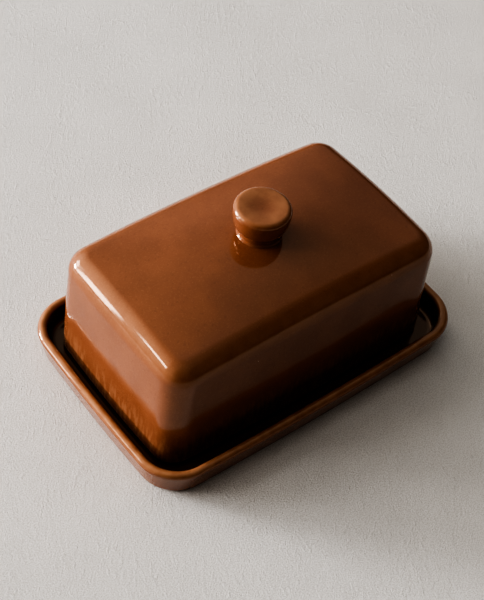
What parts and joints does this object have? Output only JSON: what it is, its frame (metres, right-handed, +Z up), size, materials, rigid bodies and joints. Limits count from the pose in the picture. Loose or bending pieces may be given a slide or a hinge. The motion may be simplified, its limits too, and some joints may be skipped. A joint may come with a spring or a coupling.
{
  "type": "covered butter dish",
  "caption": "Oblong stoneware butter dish: a shallow tray with a rounded lip and a hollow lift-off lid with a round knob.",
  "frame": {"origin": "on the table under the middle of the tray, which is the bottom centre of the bounding box", "axes": "+X along the dish's length, +Y across it towards the back, +Z up"},
  "size_m": [0.18, 0.1192, 0.0918],
  "materials": {
    "tray_glaze": "glossy chestnut-brown glaze, thinner and paler along the rounded lip; the narrow foot ring is dry",
    "lid_glaze": "glossy chestnut-brown glaze with faint mottling and a few pinholes, paler on the edges",
    "knob_glaze": "glossy chestnut-brown glaze, thinner and paler round the top edge"
  },
  "bodies": {
    "tray": {"tray": "tray_glaze"},
    "lid": {"lid_shell": "lid_glaze", "lid_knob": "knob_glaze"}
  },
  "joints": [
    {"name": "lid_lift", "type": "slide", "parent": "tray", "child": "lid", "axis": [0, 0, 1], "range_m": [0, 0.12]}
  ]
}
